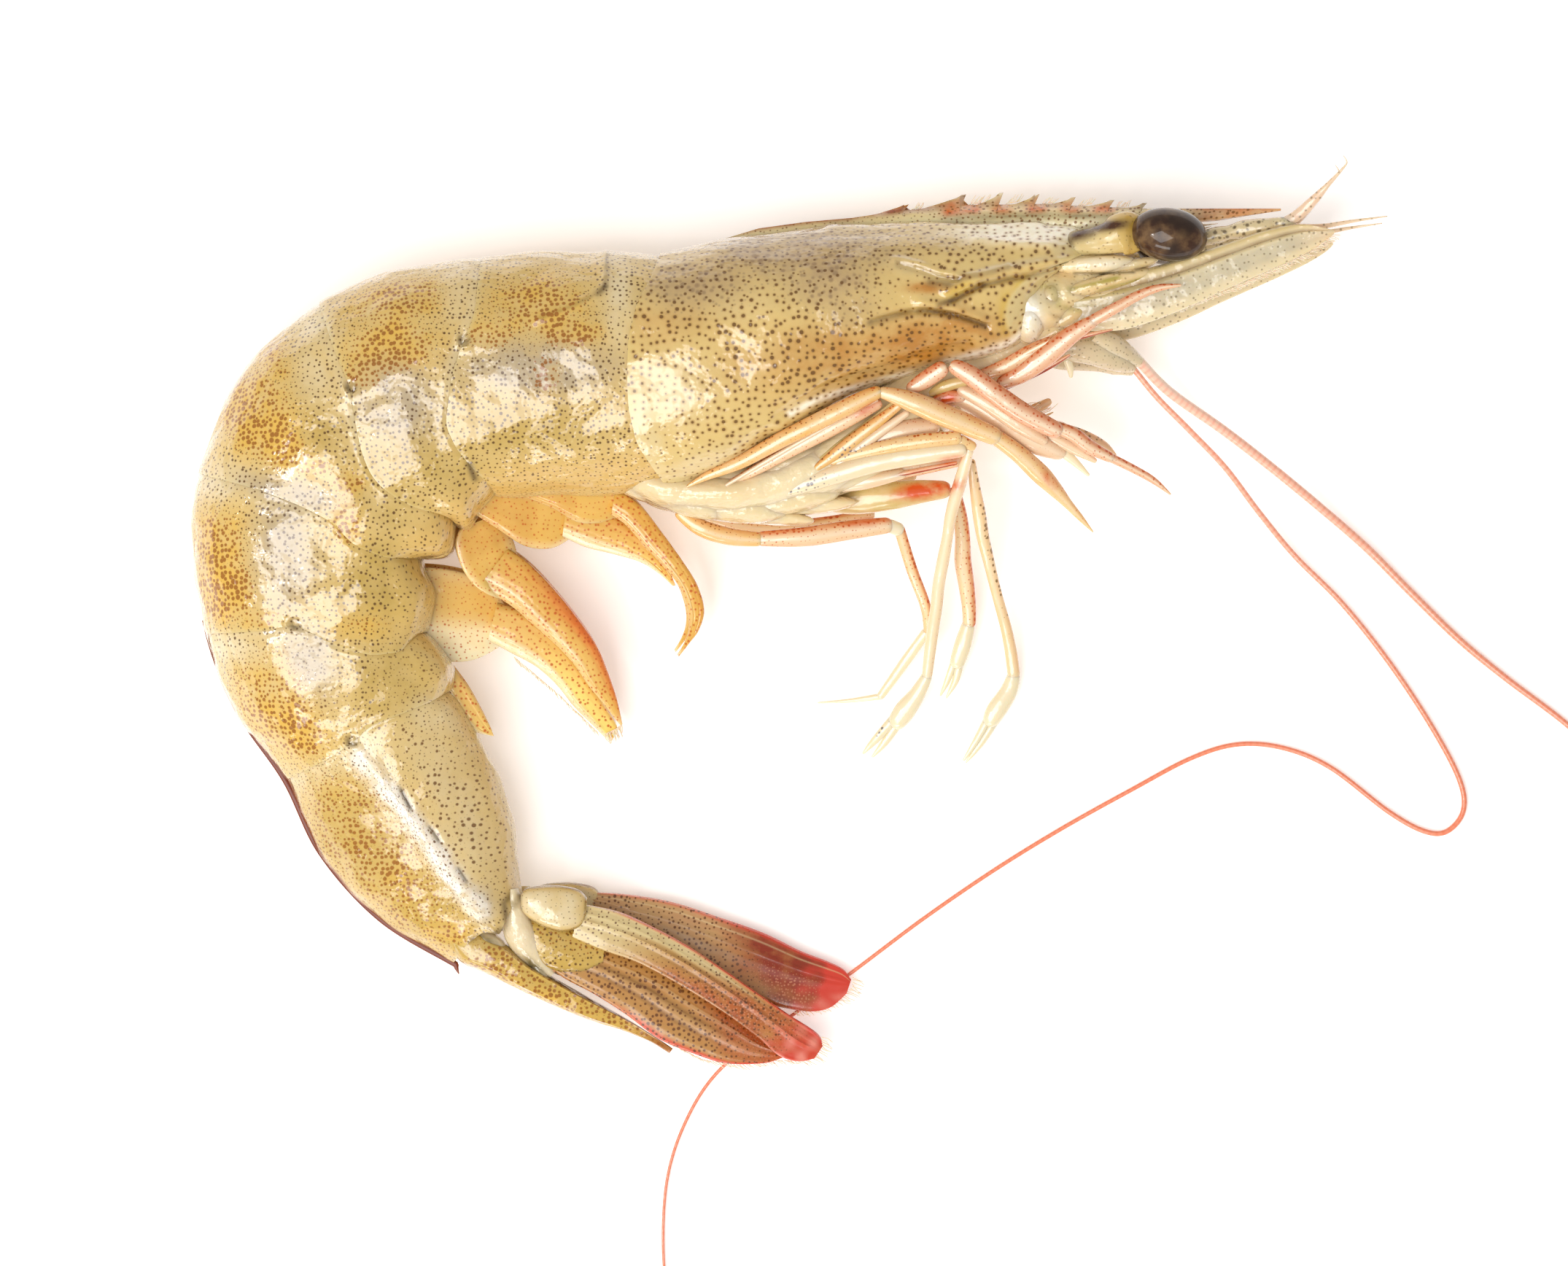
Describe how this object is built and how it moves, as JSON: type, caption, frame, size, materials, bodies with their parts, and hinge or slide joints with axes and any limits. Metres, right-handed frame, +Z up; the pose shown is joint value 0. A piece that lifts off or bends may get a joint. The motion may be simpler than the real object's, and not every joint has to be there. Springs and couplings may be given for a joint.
{
  "type": "raw shrimp",
  "caption": "Whole raw shrimp with head, shell and legs, lying on its left side, tail curled under, long feelers trailing over the table.",
  "frame": {"origin": "on the table, under the rear of the carapace, where the shrimp rests on its left side", "axes": "+X towards the head, +Y towards the back of the shrimp, +Z up, out of its right side"},
  "size_m": [0.1235, 0.1031, 0.0171],
  "materials": {
    "shell": "thin translucent shell, wet, freckled brown",
    "head_flesh": "pale translucent flesh, wet",
    "membrane": "soft pale membrane, wet",
    "swimmeret": "soft amber blade, wet",
    "leg": "thin pale shell with orange freckles",
    "claw_leg": "thin cream shell, almost clear at the claw",
    "pink_limb": "thin pink shell, wet",
    "scale": "clear greyish blade",
    "tail_blade": "thin olive-brown blade, red at the tip",
    "feeler": "ringed salmon-red whip",
    "eye": "wet dark brown mottled ball"
  },
  "bodies": {
    "root": {"carapace": "shell", "abdomen_1": "shell", "abdomen_2": "shell", "abdomen_3": "shell", "abdomen_4": "shell", "abdomen_5": "shell", "abdomen_6": "shell", "telson": "shell", "uropod_base_right": "shell", "uropod_base_left": "shell", "uropod_outer_right": "tail_blade", "uropod_inner_right": "tail_blade", "uropod_outer_left": "tail_blade", "uropod_inner_left": "tail_blade", "thorax": "membrane", "head": "head_flesh", "eyestalk_right": "head_flesh", "eyestalk_left": "head_flesh", "antenna_base_right": "head_flesh", "antenna_base_left": "head_flesh", "eye_right": "eye", "eye_left": "eye", "antennule_right": "scale", "antennule_left": "scale", "antennal_scale_right": "scale", "antennal_scale_left": "scale", "antenna_right": "feeler", "antenna_left": "feeler", "maxilliped_right": "pink_limb", "maxilliped_left": "pink_limb", "leg_1_right": "pink_limb", "leg_1_left": "pink_limb", "leg_2_right": "claw_leg", "leg_2_left": "claw_leg", "leg_3_right": "claw_leg", "leg_3_left": "claw_leg", "leg_4_right": "leg", "leg_4_left": "leg", "leg_5_right": "leg", "leg_5_left": "leg", "swimmeret_1_right": "swimmeret", "swimmeret_1_left": "swimmeret", "swimmeret_2_right": "swimmeret", "swimmeret_2_left": "swimmeret", "swimmeret_3_right": "swimmeret", "swimmeret_3_left": "swimmeret", "swimmeret_4_right": "swimmeret", "swimmeret_4_left": "swimmeret", "swimmeret_5_right": "swimmeret", "swimmeret_5_left": "swimmeret"}
  },
  "joints": []
}
